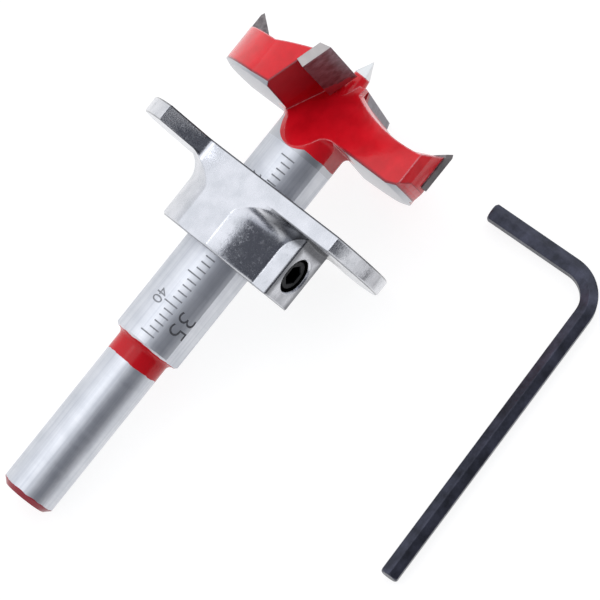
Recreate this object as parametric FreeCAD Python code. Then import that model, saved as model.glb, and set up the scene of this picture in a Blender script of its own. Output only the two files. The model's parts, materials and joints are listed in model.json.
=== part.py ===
import FreeCAD, Part
import math
import os

from FreeCAD import Placement, Rotation, Vector

os.makedirs("parts", exist_ok=True)

# A 35 mm hinge boring bit with a sliding depth stop, lying on a table beside its hexagon key.
# Each piece of the bit is drawn upright, in the tool's own frame: Z runs along the tool towards
# its cutting end, and zero is the shoulder between shank and barrel. A bearing of zero degrees
# looks along minus Y and grows towards plus X, which is the way the bit turns when it cuts.
# At the end the whole tool is laid down on its three resting points, with Z up and X along it.

# Shank and barrel, millimetres
shank_radius = 4.0
shank_length = 26.2
shank_chamfer = 0.8
shoulder_fillet = 0.8
barrel_radius = 5.2
barrel_length = 33.0
barrel_chamfer = 0.35
flat_depth = 0.3
screw_bearing = 58.0
spigot_radius = 3.2
spigot_length = 5.0
braze_gap = 0.02

# Cutting head: its heights are above the underside of the lobes, its insets from the cutting radius
neck_length = 4.0
neck_fillet = 1.0
cutting_radius = 17.5
lobe_rim_inset = 1.5
lobe_tail_inset = 0.9
lobe_rim_height = 5.9
lobe_waist_radius = 10.0
lobe_waist_height = 5.6
lobe_centre_radius = 2.0
lobe_centre_height = 7.8
underside_bevel_inset = 2.3
underside_bevel_height = 0.9
nipple_base_height = 5.6
nipple_base_radius = 1.9
nipple_height = 9.9
nipple_top_radius = 1.2

# Chip gullets: a leaning front face under each main cutter, and a wall that runs out in the neck
gullet_neck_step = 0.25
gullet_roof_height = 9.0
gullet_face_setback = 1.1
gullet_face_lean = 20.0
gullet_wall_bearing = 47.0
gullet_wall_top_offset = 0.3
gullet_reach = 30.0

# Main cutters
cutter_bearing = -21.0
cutter_edge_height = 8.9
cutter_edge_rise = 1.4
cutter_lead = 0.25
cutter_inner_radius = 2.4
cutter_end_clearance = 0.15
cutter_height = 4.5
cutter_thickness = 1.4
cutter_hook = 18.0
cutter_relief = 12.0
tooth_drop = 0.75
tooth_relief = 17.6
tooth_length = 9.0
tooth_pad_inset = 0.6
tooth_pad_sweep = 28.0
tooth_pad_front_sweep = 12.0

# Spurs
spur_bearing = 61.0
spur_thickness = 1.7
spur_width = 2.5
spur_base_height = 2.7
spur_apex_height = 8.85
spur_apex_setback = 0.25
spur_shoulder_drop = 0.5
spur_slope = 37.0
spur_relief = 22.0
spur_pad_inset = 0.3
spur_pad_back_sweep = 8.5
spur_pad_tail_sweep = 19.0
spur_pad_front_sweep = 6.0
spur_pad_nose_sweep = 12.0
spur_notch_length = 3.4
spur_undercut_inset = 1.1
spur_undercut_height = 2.05
spur_riser_length = 7.0
spur_riser_height = 7.8
spur_riser_cant = 23.0
spur_riser_fall = 19.0
pad_inner_radius = 12.0

# Centre point
point_height = 2.6
point_corner_radius = 1.35
point_root_radius = 0.7
point_root_length = 3.0
point_turn = 20.0

# Radii of the head's rim, which follow the cutting radius
lobe_rim_radius = cutting_radius - lobe_rim_inset
lobe_tail_radius = cutting_radius - lobe_tail_inset
underside_bevel_radius = cutting_radius - underside_bevel_inset
tooth_pad_radius = cutting_radius - tooth_pad_inset
spur_pad_radius = cutting_radius - spur_pad_inset
spur_undercut_radius = cutting_radius - spur_undercut_inset

# Levels of the head above the shoulder, which follow the barrel and the neck
lobe_base = barrel_length + neck_length
lobe_rim_top = lobe_base + lobe_rim_height
lobe_waist_top = lobe_base + lobe_waist_height
lobe_centre_top = lobe_base + lobe_centre_height
nipple_base = lobe_base + nipple_base_height
nipple_top = lobe_base + nipple_height
gullet_floor = barrel_length + gullet_neck_step
gullet_roof = lobe_base + gullet_roof_height
cutter_edge = lobe_base + cutter_edge_height
spur_base = lobe_base + spur_base_height
spur_apex = lobe_base + spur_apex_height
spur_riser_top = lobe_base + spur_riser_height

# Depth stop collar: its flange top stands at the stop height
stop_height = 27.3
flange_radius = 20.1
flange_thickness = 2.5
flange_foot = stop_height - flange_thickness
flange_edge_bevel = 0.25
flat_distance = 9.2
flange_flat_bearing = -32.0
notch_inner_reach = 6.8
notch_wall_lean = 20.0
notch_corner_radius = 1.5
hub_radius = 9.6
hub_height = 9.3
hub_foot = flange_foot - hub_height
hub_bevel = 0.3
hub_flare = 3.5
running_gap = 0.05
bore_bevel = 0.4
boss_width = 7.4
boss_reach = 11.4
boss_bevel = 0.2

# Set screw
screw_radius = 2.5
screw_length = 6.0
screw_height = 4.4
screw_tip_gap = 0.04
screw_tip_bevel = 0.8
screw_end_bevel = 0.4
thread_gap = 0.05
mouth_bevel = 0.25
socket_gap = 0.03
socket_depth = 2.6

# Hexagon key
key_across_flats = 2.5
key_long_arm = 51.5
key_short_arm = 20.2
key_bend_radius = 5.0
key_end_bevel = 0.3
key_side_distance = 41.5
key_forward_reach = 47.9
key_turn = 3.4

# A cut runs past the surface it opens by this much
overrun = 2.0

# Where the middle of a quarter-round fillet lies, as a share of its radius
quarter_round_share = math.cos(math.radians(45))

# The resting pose is found again this many times, which is plenty for it to settle
resting_steps = 8

tool_axis = Vector(0, 0, 1)


def bearing_vector(bearing):
    angle = math.radians(bearing)
    return Vector(math.sin(angle), -math.cos(angle), 0)


def at(bearing, radius, height=0):
    return bearing_vector(bearing) * radius + Vector(0, 0, height)


def closed_face(points):
    """Face inside a closed outline. A pair of points is an arc through the first to the second."""
    edges = []
    last = points[0]
    for step in points[1:]:
        if isinstance(step, tuple):
            through, end = step
            edges.append(Part.Arc(last, through, end).toShape())
        else:
            end = step
            edges.append(Part.LineSegment(last, end).toShape())
        last = end
    if not last.isEqual(points[0], Part.Vertex(last).Tolerance):
        edges.append(Part.LineSegment(last, points[0]).toShape())
    return Part.Face(Part.Wire(edges))


def corner_arc(before, corner, after, radius):
    """Start, middle and end of the arc that rounds a corner between two straight edges."""
    back = (before - corner).normalize()
    ahead = (after - corner).normalize()
    half_angle = back.getAngle(ahead) / 2
    setback = radius / math.tan(half_angle)
    towards_centre = (back + ahead).normalize()
    middle = corner + towards_centre * (radius / math.sin(half_angle) - radius)
    return corner + back * setback, middle, corner + ahead * setback


def turned(points):
    """Solid of revolution about the tool axis from radius and height pairs in the XZ plane."""
    face = closed_face(points)
    return face.revolve(Vector(0, 0, 0), tool_axis, 360)


def half_profile(radius, height):
    return Vector(radius, 0, height)


def rod(radius, foot, length, direction=tool_axis):
    return Part.makeCylinder(radius, length, foot, direction)


def half_turned(shape):
    """The same shape on the other side of the tool, since the head has two equal halves."""
    copy = shape.copy()
    copy.rotate(Vector(0, 0, 0), tool_axis, 180)
    return copy


def side_slab(bearing, outline, start, length):
    """Slab whose outline lies in the upright plane across a bearing, made along that bearing.

    Each outline point is a pair: the distance in the cutting direction, and the height.
    """
    forward = bearing_vector(bearing + 90)
    base = bearing_vector(bearing) * start
    points = [base + forward * step + Vector(0, 0, height) for step, height in outline]
    return closed_face(points).extrude(bearing_vector(bearing) * length)


def hexagon(across_flats, centre, first_corner, normal):
    """Hexagonal face around a centre, with its first corner in a given direction."""
    corner_radius = across_flats / math.sqrt(3)
    points = []
    for index in range(6):
        turn = Rotation(normal, 60 * index)
        points.append(centre + turn.multVec(first_corner) * corner_radius)
    return closed_face(points)


def barrel_flat(foot, top):
    """Cutting block for the flat that runs along the barrel and the neck of the head."""
    distance = barrel_radius - flat_depth
    half_width = barrel_radius
    outline = [(-half_width, foot), (half_width, foot), (half_width, top), (-half_width, top)]
    return side_slab(screw_bearing, outline, distance, barrel_radius)


def make_shank_barrel():
    profile = [
        half_profile(0, -shank_length),
        half_profile(shank_radius - shank_chamfer, -shank_length),
        half_profile(shank_radius, shank_chamfer - shank_length),
        half_profile(shank_radius, -shoulder_fillet),
        (
            half_profile(
                shank_radius + shoulder_fillet * (1 - quarter_round_share),
                -shoulder_fillet * (1 - quarter_round_share),
            ),
            half_profile(shank_radius + shoulder_fillet, 0),
        ),
        half_profile(barrel_radius - barrel_chamfer, 0),
        half_profile(barrel_radius, barrel_chamfer),
        half_profile(barrel_radius, barrel_length),
        half_profile(spigot_radius, barrel_length),
        half_profile(spigot_radius, barrel_length + spigot_length),
        half_profile(0, barrel_length + spigot_length),
    ]
    return turned(profile).cut(barrel_flat(-overrun, barrel_length))


def lobe_blank():
    """Turned blank of the two lobes, with a dished top and a bevelled underside."""
    rim = cutting_radius
    profile = [
        half_profile(0, lobe_base),
        half_profile(underside_bevel_radius, lobe_base),
        half_profile(rim, lobe_base + underside_bevel_height),
        half_profile(rim, lobe_rim_top),
        (
            half_profile(lobe_waist_radius, lobe_waist_top),
            half_profile(lobe_centre_radius, lobe_centre_top),
        ),
        half_profile(0, lobe_centre_top),
    ]
    return turned(profile)


def tooth_top(step):
    """Height of the tooth that backs a main cutter, at a distance ahead of its edge."""
    return cutter_edge - tooth_drop + step * math.tan(math.radians(tooth_relief))


def make_tooth():
    outline = [
        (overrun, lobe_base + overrun),
        (overrun, tooth_top(overrun)),
        (-tooth_length, tooth_top(-tooth_length)),
        (-tooth_length, lobe_base + overrun),
    ]
    return side_slab(cutter_bearing, outline, 0, cutting_radius)


def make_spur_riser():
    """Ramp that backs a spur: it falls away inwards and behind, until the dished top covers it."""
    outward = bearing_vector(spur_bearing)
    rise = (cutting_radius - pad_inner_radius) * math.tan(math.radians(spur_riser_cant))
    foot = Vector(0, 0, spur_base + overrun)
    face = closed_face([
        outward * pad_inner_radius + foot,
        outward * cutting_radius + foot,
        outward * cutting_radius + Vector(0, 0, spur_riser_top),
        outward * pad_inner_radius + Vector(0, 0, spur_riser_top - rise),
    ])
    drop = spur_riser_length * math.tan(math.radians(spur_riser_fall))
    backward = bearing_vector(spur_bearing - 90)
    return face.extrude(backward * spur_riser_length - Vector(0, 0, drop))


def tooth_pad():
    """Raised stretch of the rim behind a main cutter, seen from above."""
    front = cutter_bearing + tooth_pad_front_sweep
    middle = cutter_bearing - tooth_pad_sweep / 2
    back = cutter_bearing - tooth_pad_sweep
    middle_radius = (lobe_rim_radius + tooth_pad_radius) / 2
    return closed_face([
        at(back, pad_inner_radius),
        at(back, lobe_rim_radius),
        (at(middle, middle_radius), at(cutter_bearing, tooth_pad_radius)),
        at(front, tooth_pad_radius),
        at(front, pad_inner_radius),
    ])


def spur_pad():
    """Raised stretch of the rim that carries a spur, seen from above."""
    tail = spur_bearing - spur_pad_tail_sweep
    back = spur_bearing - spur_pad_back_sweep
    front = spur_bearing + spur_pad_front_sweep
    nose = spur_bearing + spur_pad_nose_sweep
    return closed_face([
        at(tail, pad_inner_radius),
        at(tail, lobe_tail_radius),
        at(back, spur_pad_radius),
        (at(spur_bearing, spur_pad_radius), at(front, spur_pad_radius)),
        at(nose, lobe_rim_radius),
        at(nose, pad_inner_radius),
    ])


def spur_undercut():
    """Ring that cuts the rim back below a spur."""
    return turned([
        half_profile(spur_undercut_radius, 0),
        half_profile(spur_undercut_radius, lobe_base),
        half_profile(spur_pad_radius, lobe_base + spur_undercut_height),
        half_profile(cutting_radius, lobe_base + spur_undercut_height),
        half_profile(cutting_radius, 0),
    ])


def rim_prism():
    """Upright prism with the head's outline, which trims everything that forms the lobes."""
    height = nipple_top
    prism = rod(lobe_rim_radius, Vector(0, 0, 0), height)
    tooth_side = tooth_pad().extrude(Vector(0, 0, height))
    spur_side = spur_pad().extrude(Vector(0, 0, height)).cut(spur_undercut())
    for side in (tooth_side, spur_side):
        prism = prism.fuse([side, half_turned(side)])
    return prism.removeSplitter()


def gullet_section(height):
    """Outline of a gullet at one height, between the face under the cutter and the wall."""
    along = bearing_vector(cutter_bearing)
    forward = bearing_vector(cutter_bearing + 90)
    share = (height - gullet_floor) / (gullet_roof - gullet_floor)
    face_lean = math.tan(math.radians(gullet_face_lean))
    setback = gullet_face_setback + (cutter_edge - height) * face_lean
    wall_offset = barrel_radius + share * (gullet_wall_top_offset - barrel_radius)
    wall_turn = math.degrees(math.acos(wall_offset / lobe_tail_radius))
    foot_bearing = gullet_wall_bearing - wall_turn
    foot = at(foot_bearing, wall_offset)
    wall = bearing_vector(foot_bearing + 90)
    fore = -setback - foot.dot(forward)
    corner = foot + wall * (fore / wall.dot(forward))
    points = [
        corner,
        corner + along * gullet_reach,
        foot + wall * gullet_reach,
    ]
    return Part.makePolygon([p + Vector(0, 0, height) for p in points + points[:1]])


def make_gullet():
    sections = [gullet_section(gullet_floor), gullet_section(gullet_roof + overrun)]
    return Part.makeLoft(sections, True, True)


def make_main_cutter():
    """Planing plate whose edge stands a little ahead of the axis and rises towards it."""
    hook = math.radians(cutter_hook)
    relief = math.radians(cutter_relief)
    edge = (cutter_lead, cutter_edge)
    low_front = (
        edge[0] - cutter_height * math.sin(hook),
        cutter_edge - cutter_height * math.cos(hook),
    )
    low_back = (
        low_front[0] - cutter_thickness * math.cos(hook),
        low_front[1] + cutter_thickness * math.sin(hook),
    )
    land = cutter_thickness / math.cos(hook + relief)
    high_back = (edge[0] - land * math.cos(relief), cutter_edge - land * math.sin(relief))
    length = cutting_radius - cutter_end_clearance - cutter_inner_radius
    plate = side_slab(
        cutter_bearing, [edge, low_front, low_back, high_back], cutter_inner_radius, length
    )
    outer_end = at(cutter_bearing, cutter_inner_radius + length, cutter_edge)
    plate.rotate(outer_end, bearing_vector(cutter_bearing + 90), cutter_edge_rise)
    return plate


def make_spur():
    """Scoring plate that stands across the rim, its point on the cutting radius.

    Its top falls away behind the cutting face, so that only the front edge scores the wood.
    """
    outward = bearing_vector(spur_bearing)
    forward = bearing_vector(spur_bearing + 90)
    outer = math.sqrt(cutting_radius ** 2 - spur_thickness ** 2)
    inner = outer - spur_width
    apex_radius = outer - spur_apex_setback
    slope_run = apex_radius - inner
    slope_drop = slope_run * math.tan(math.radians(spur_slope))
    sections = []
    for step in (0, spur_thickness):
        apex = spur_apex - (spur_thickness - step) * math.tan(math.radians(spur_relief))
        outline = [
            (inner, spur_base),
            (outer, spur_base),
            (outer, apex - spur_shoulder_drop),
            (apex_radius, apex),
            (inner, apex - slope_drop),
        ]
        start = forward * step
        points = [start + outward * radius + Vector(0, 0, height) for radius, height in outline]
        sections.append(Part.makePolygon(points + points[:1]))
    return Part.makeLoft(sections, True, True)


def spur_notch():
    """Chip space in front of a spur, open to the rim and to the top."""
    outward = bearing_vector(spur_bearing)
    forward = bearing_vector(spur_bearing + 90)
    inner = math.sqrt(cutting_radius ** 2 - spur_thickness ** 2) - spur_width
    start = outward * inner + forward * spur_thickness
    rise = Vector(0, 0, spur_base)
    face = closed_face([
        start + rise,
        start + outward * (spur_width + overrun) + rise,
        start + outward * (spur_width + overrun) + forward * spur_notch_length + rise,
    ])
    return face.extrude(Vector(0, 0, nipple_top - spur_base))


def make_centre_point():
    corners = [
        at(point_turn + 90 * index, point_corner_radius, nipple_top) for index in range(4)
    ]
    base = Part.makePolygon(corners + corners[:1])
    tip = Part.Vertex(Vector(0, 0, nipple_top + point_height))
    pyramid = Part.makeLoft([base, tip], True, True)
    root = rod(point_root_radius, Vector(0, 0, nipple_top - point_root_length), point_root_length)
    return pyramid.fuse(root)


def make_neck():
    """Round neck under the lobes, as thick as the barrel, with a fillet where it meets them."""
    profile = [
        half_profile(0, barrel_length),
        half_profile(barrel_radius, barrel_length),
        half_profile(barrel_radius, lobe_base - neck_fillet),
        (
            half_profile(
                barrel_radius + neck_fillet * (1 - quarter_round_share),
                lobe_base - neck_fillet * (1 - quarter_round_share),
            ),
            half_profile(barrel_radius + neck_fillet, lobe_base),
        ),
        half_profile(barrel_radius + neck_fillet, lobe_base + overrun),
        half_profile(0, lobe_base + overrun),
    ]
    return turned(profile)


def make_cutter_head(tips):
    tooth = make_tooth()
    riser = make_spur_riser()
    blank = lobe_blank().fuse([tooth, half_turned(tooth), riser, half_turned(riser)])
    lobes = blank.common(rim_prism())
    neck = make_neck()
    gullet = make_gullet()
    body = lobes.fuse(neck).cut([gullet, half_turned(gullet)])
    nipple = Part.makeCone(
        nipple_base_radius, nipple_top_radius, nipple_top - nipple_base, Vector(0, 0, nipple_base)
    )
    socket = rod(
        spigot_radius + braze_gap,
        Vector(0, 0, barrel_length - overrun),
        spigot_length + braze_gap + overrun,
    )
    notch = spur_notch()
    cuts = [socket, barrel_flat(barrel_length - overrun, lobe_base), notch, half_turned(notch)]
    return body.fuse(nipple).cut(cuts + tips).removeSplitter()


def flange_corners():
    """Rim corner, inner corner and wall end of the near notch of the flange, seen from above."""
    normal = bearing_vector(flange_flat_bearing)
    side = bearing_vector(flange_flat_bearing + 90)
    rim_step = math.sqrt(flange_radius ** 2 - flat_distance ** 2)
    rim_corner = side * rim_step + normal * flat_distance
    inner_corner = normal * flat_distance - side * notch_inner_reach
    lean = math.radians(notch_wall_lean)
    wall = normal * math.cos(lean) - side * math.sin(lean)
    along = inner_corner.dot(wall)
    wall_length = math.sqrt(along ** 2 + flange_radius ** 2 - inner_corner.Length ** 2) - along
    return rim_corner, inner_corner, inner_corner + wall * wall_length


def flange_outline():
    """Outline of the flange seen along the tool: a disc with two open notches for the chips."""
    rim_corner, inner_corner, wall_end = flange_corners()
    rim_middle = (wall_end - rim_corner).normalize() * flange_radius
    flat_start, bend, wall_start = corner_arc(
        rim_corner, inner_corner, wall_end, notch_corner_radius
    )
    return closed_face([
        rim_corner,
        flat_start,
        (bend, wall_start),
        wall_end,
        (rim_middle, -rim_corner),
        -flat_start,
        (-bend, -wall_start),
        -wall_end,
        (-rim_middle, rim_corner),
    ])


def make_stop_collar():
    profile = [
        half_profile(0, hub_foot),
        half_profile(hub_radius - hub_bevel, hub_foot),
        half_profile(hub_radius, hub_foot + hub_bevel),
        half_profile(hub_radius, flange_foot - hub_flare),
        (
            half_profile(
                hub_radius + hub_flare * (1 - quarter_round_share),
                flange_foot - hub_flare * (1 - quarter_round_share),
            ),
            half_profile(hub_radius + hub_flare, flange_foot),
        ),
        half_profile(flange_radius - flange_edge_bevel, flange_foot),
        half_profile(flange_radius, flange_foot + flange_edge_bevel),
        half_profile(flange_radius, stop_height - flange_edge_bevel),
        half_profile(flange_radius - flange_edge_bevel, stop_height),
        half_profile(0, stop_height),
    ]
    prism = flange_outline().extrude(Vector(0, 0, stop_height))
    body = turned(profile).common(prism)

    half_width = boss_width / 2
    boss = side_slab(
        screw_bearing,
        [
            (-half_width, hub_foot),
            (half_width, hub_foot),
            (half_width, flange_foot + flange_edge_bevel),
            (-half_width, flange_foot + flange_edge_bevel),
        ],
        0,
        boss_reach,
    )
    end_face = max(boss.Faces, key=lambda face: face.CenterOfMass.dot(bearing_vector(screw_bearing)))
    boss = boss.makeChamfer(boss_bevel, end_face.Edges[:])
    bore_radius = barrel_radius + running_gap
    bore = rod(bore_radius, Vector(0, 0, hub_foot), hub_height + flange_thickness)
    low_bevel = Part.makeCone(bore_radius + bore_bevel, bore_radius, bore_bevel, Vector(0, 0, hub_foot))
    high_bevel = Part.makeCone(
        bore_radius, bore_radius + bore_bevel, bore_bevel, Vector(0, 0, stop_height - bore_bevel)
    )
    outward = bearing_vector(screw_bearing)
    screw_line = Vector(0, 0, hub_foot + screw_height)
    hole_radius = screw_radius + thread_gap
    hole = rod(hole_radius, screw_line, boss_reach + overrun, outward)
    mouth = Part.makeCone(
        hole_radius,
        hole_radius + mouth_bevel,
        mouth_bevel,
        screw_line + outward * (boss_reach - mouth_bevel),
        outward,
    )
    return body.fuse(boss).cut([bore, low_bevel, high_bevel, hole, mouth]).removeSplitter()


def make_set_screw():
    """Socket set screw with a flat point on the barrel's flat."""
    outward = bearing_vector(screw_bearing)
    height = hub_foot + screw_height
    tip = barrel_radius - flat_depth + screw_tip_gap
    foot = Vector(0, 0, height) + outward * tip
    stem_length = screw_length - screw_tip_bevel - screw_end_bevel
    point = Part.makeCone(screw_radius - screw_tip_bevel, screw_radius, screw_tip_bevel, foot, outward)
    stem = rod(screw_radius, foot + outward * screw_tip_bevel, stem_length, outward)
    end = Part.makeCone(
        screw_radius,
        screw_radius - screw_end_bevel,
        screw_end_bevel,
        foot + outward * (screw_length - screw_end_bevel),
        outward,
    )
    socket_foot = foot + outward * (screw_length - socket_depth)
    socket = hexagon(key_across_flats + socket_gap, socket_foot, tool_axis, outward)
    return point.fuse([stem, end]).cut(socket.extrude(outward * (socket_depth + overrun)))


def make_hex_key():
    """L-shaped key on the table, with a corner of its section upwards in both arms."""
    up = Vector(0, 0, 1)
    rise = key_across_flats / math.sqrt(3)
    long_run = key_long_arm - key_across_flats / 2 - key_bend_radius
    short_run = key_short_arm - key_across_flats / 2 - key_bend_radius
    forward = Vector(1, 0, 0)
    towards_tool = Vector(0, 1, 0)
    bend_start = Vector(-key_bend_radius, 0, rise)
    section = hexagon(key_across_flats, bend_start, up, forward)
    long_arm = section.extrude(-forward * long_run)
    bend = section.revolve(bend_start + towards_tool * key_bend_radius, up, 90)
    bend_end = Vector(0, key_bend_radius, rise)
    short_section = hexagon(key_across_flats, bend_end, up, towards_tool)
    short_arm = short_section.extrude(towards_tool * short_run)
    key = long_arm.fuse([bend, short_arm]).removeSplitter()
    corner_radius = key_across_flats / math.sqrt(3)
    for end, inward in (
        (bend_start - forward * long_run, forward),
        (bend_end + towards_tool * short_run, -towards_tool),
    ):
        keep = Part.makeCone(
            corner_radius - key_end_bevel,
            corner_radius - key_end_bevel + 2 * corner_radius,
            2 * corner_radius,
            end,
            inward,
        )
        block = rod(2 * corner_radius, end, corner_radius, inward)
        key = key.cut(block.cut(keep))
    key.rotate(Vector(0, 0, 0), up, key_turn)
    key.translate(Vector(key_forward_reach, -key_side_distance, 0))
    return key


def resting_placement():
    """Lay the tool on its shank's end and on the two far corners of the flange."""
    rim_corner, _, wall_end = flange_corners()
    edge = Vector(0, 0, flange_foot + flange_edge_bevel)
    left_corner = edge - rim_corner
    right_corner = edge - wall_end
    up = Vector(0, -1, 0)
    for _ in range(resting_steps):
        across = Vector(up.x, up.y, 0).normalize()
        shank_corner = Vector(0, 0, shank_chamfer - shank_length) - across * shank_radius
        up = (left_corner - shank_corner).cross(right_corner - shank_corner).normalize()
        if up.y > 0:
            up = -up
    along = (tool_axis - up * tool_axis.dot(up)).normalize()
    side = up.cross(along)
    frame = FreeCAD.Matrix(
        along.x, along.y, along.z, 0,
        side.x, side.y, side.z, 0,
        up.x, up.y, up.z, 0,
        0, 0, 0, 1,
    )
    laid = Placement(frame)
    foot = laid.multVec(shank_corner)
    shoulder = laid.multVec(Vector(0, 0, 0))
    return Placement(Vector(-shoulder.x, -shoulder.y, -foot.z), Rotation()).multiply(laid)


cutter = make_main_cutter()
spur = make_spur()
centre_point = make_centre_point()
hard_tips = {
    "main_cutter_a": cutter,
    "main_cutter_b": half_turned(cutter),
    "spur_a": spur,
    "spur_b": half_turned(spur),
    "centre_point": centre_point,
}
tool = {
    "shank_barrel": make_shank_barrel(),
    "cutter_head": make_cutter_head(list(hard_tips.values())),
    "stop_collar": make_stop_collar(),
    "set_screw": make_set_screw(),
}
tool.update(hard_tips)

resting = resting_placement()
pieces = {name: shape.transformed(resting.toMatrix()) for name, shape in tool.items()}
pieces["hex_key"] = make_hex_key()

box = FreeCAD.BoundBox()
for shape in pieces.values():
    box.add(shape.optimalBoundingBox())
centring = Vector(-(box.XMin + box.XMax) / 2, -(box.YMin + box.YMax) / 2, 0)
for name, shape in pieces.items():
    shape.translate(centring)
    shape.exportStep("parts/" + name + ".step")
    print(name, len(shape.Solids), "solids, volume", round(shape.Volume, 2), "valid", shape.isValid())

shoulder = resting.multVec(Vector(0, 0, 0)) + centring
for label, direction in (
    ("tool axis", tool_axis),
    ("screw axis", bearing_vector(screw_bearing)),
):
    print(label, resting.Rotation.multVec(direction))
print("shoulder centre", shoulder)
print("size", box.XLength, box.YLength, box.ZLength, "lowest", box.ZMin)
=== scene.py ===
import json
import math

import bmesh
import bpy
from mathutils import Matrix, Vector


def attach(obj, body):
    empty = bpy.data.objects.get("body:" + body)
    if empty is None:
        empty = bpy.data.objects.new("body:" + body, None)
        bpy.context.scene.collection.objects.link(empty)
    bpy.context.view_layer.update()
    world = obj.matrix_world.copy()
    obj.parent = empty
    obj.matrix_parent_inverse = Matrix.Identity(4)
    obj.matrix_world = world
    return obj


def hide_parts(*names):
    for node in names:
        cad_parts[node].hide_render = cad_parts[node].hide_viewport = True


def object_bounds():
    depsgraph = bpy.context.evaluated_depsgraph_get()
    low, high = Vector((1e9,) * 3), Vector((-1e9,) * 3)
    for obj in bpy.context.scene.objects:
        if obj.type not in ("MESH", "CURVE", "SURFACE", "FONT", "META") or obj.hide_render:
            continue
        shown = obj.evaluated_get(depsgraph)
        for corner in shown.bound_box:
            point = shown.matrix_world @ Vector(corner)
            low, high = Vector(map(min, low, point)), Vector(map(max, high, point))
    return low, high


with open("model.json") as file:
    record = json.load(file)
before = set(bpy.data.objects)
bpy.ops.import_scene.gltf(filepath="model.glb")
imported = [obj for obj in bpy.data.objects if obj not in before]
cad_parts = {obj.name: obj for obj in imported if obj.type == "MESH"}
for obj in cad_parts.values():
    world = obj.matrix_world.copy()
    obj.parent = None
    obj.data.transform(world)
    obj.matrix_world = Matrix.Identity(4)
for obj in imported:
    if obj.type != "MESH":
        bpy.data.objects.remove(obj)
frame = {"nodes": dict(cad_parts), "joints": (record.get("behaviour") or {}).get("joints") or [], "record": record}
cad_low, cad_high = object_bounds()

# A 35 mm hinge boring bit with its depth-stop collar, set screw and hexagon key.
# Sizes below are in millimetres, and MM turns them into Blender's metres. Bearings are in degrees.
# A pair of numbers is where something starts to change and where it has changed.
MM = 0.001

# The tool's own frame, as in the model: Z runs towards the cutting end and zero is the shoulder
# between shank and barrel. A bearing of zero degrees looks along minus Y and grows towards plus X.
screw_bearing = 58.0
shank_mount_depth = 13.1

# The graduated barrel, and the joint line where the head starts
barrel_radius = 5.2
joint_line = (32.7, 32.8)
scale_zero = 46.7
scale_first = 15
scale_last = 45
scale_long_every = 5
scale_spacing = 1.0
numbered_readings = (20, 30, 40)
stroke_length = 1.5
long_stroke_length = 2.25
stroke_width = 0.2
stroke_columns = 9
mark_lift = 0.012
number_bearing = -36.0
number_height = 1.6
size_mark_text = "35"
size_mark_bearing = 21.5
size_mark_level = 5.2
size_mark_height = 2.8
size_mark_thinning = 0.05
figure_share_of_font = 0.7
figure_cuts = 2

# The set screw, along its own axis: zero is its flat point, on the barrel. The thread's flank is
# in parts of the pitch.
screw_radius = 2.5
screw_pitch = 0.8
thread_depth = 0.42
thread_flank = (0.08, 0.42)
screw_length = 6.0
screw_point_bevel = 0.8
screw_end_bevel = 0.4
socket_corners = 6
socket_across_flats = 2.53
socket_depth = 2.6
socket_mouth_bevel = 0.12
socket_drill_point = 0.45
screw_level = 19.9
screw_point_reach = 4.94
thread_rows = 121
steps_per_turn = 48
thread_seam = 0.001

# The collar, above the shoulder
stop_height = 27.3
flange_bottom = 24.8
collar_bottom = 15.5

# Painted shade on the collar's casting: dark lines along its edges, in the corner under its flange,
# and in its tapped hole. The screw's side lies between two bearings.
top_line = (stop_height - 0.24, stop_height - 0.16)
foot_line = (collar_bottom + 0.08, collar_bottom + 0.16)
rim_line = (flange_bottom + 0.1, flange_bottom + 0.2)
rim_radius = (11.6, 11.8)
flange_shade_foot = (flange_bottom - 1.9, flange_bottom - 1.2)
flange_shade_top = (flange_bottom + 0.05, flange_bottom + 0.1)
flange_shade_radius = (12.5, 15.0)
tapped_hole_radius = (2.6, 2.66)
screw_side_start = (2, 16)
screw_side_end = (100, 115)

# Paint on the shank, above the shoulder
dipped_end = (-25.43, -25.37)
band_foot = (-3.1, -3.04)
band_top = (0.05, 0.1)
dip_waver = 0.12

# Paint on the head, above the shoulder. On the neck it comes down in a round tongue.
head_paint_edge = 33.9
lobe_paint_edge = 36.6
tongue_bearing = -26.0
tongue_half_width = 25.0
tongue_tip = 33.05
tongue_side = (tongue_bearing - 4, tongue_bearing)
neck_back = (-88, -78)
paint_edge = (-0.03, 0.03)
paint_waver = 0.1
milled_radius = (6.5, 6.7)
lobe_radius = (6.6, 8.1)
# The painted shade below the cutters fades in between these radii.
cutter_seat_radius = (2.5, 3.5)
# Widths of the painted highlight along the edges and of the painted shade along the lobes' lower edges
edge_highlight_width = 0.34
lower_edge_shade_width = 0.7
head_rounding = 0.3
head_rounding_start = (-0.4, -0.1)

# Red paint over the inner ends of the main cutters: how far out it reaches at this height, and how
# much further for each millimetre below
smear_level = 46.0
smear_radius = 3.3
smear_spread = 0.64
smear_raggedness = 0.5
smear_edge = (0.0, 0.25)

# Floor, lamp and camera. The camera's place is measured from the shoulder.
floor_reach = 1500.0
floor_gap = 0.02
lamp_place = (-20.0, 300.0, 650.0)
lamp_width = 300.0
lamp_height = 120.0
lamp_watts = 0.3
camera_place = (-61.12, -94.86, 377.09)
camera_target = (7.04, 0.94, 8.9)
camera_roll = -6.4
camera_lens = 174.0
camera_sensor = 36.0

# The studio's walls. Places are parts of a unit direction: X is right, Y is away from the
# camera's side and Z is up.
near_side = (-0.26, -0.16)
patch_middle = -0.15
patch_half_width = (0.4, 0.7)
slit_middle = -0.6
slit_half_width = (0.02, 0.07)
slit_share = 0.5
left_side = (-0.72, -0.65)
left_far_edge = (-0.05, 0.1)
left_top = (0.3, 0.45)
wall_rise = (0.0, 0.75)
wall_strengths = (0.9, 1.35)
patch_strength = 0.14

# Kinds of node that come up often, and the range that noise mostly stays in
MATH = "ShaderNodeMath"
VECTOR_MATH = "ShaderNodeVectorMath"
RANGE = "ShaderNodeMapRange"
MIX = "ShaderNodeMix"
SEPARATE = "ShaderNodeSeparateXYZ"
COMBINE = "ShaderNodeCombineXYZ"
usual_noise = (0.3, 0.7)

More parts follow.
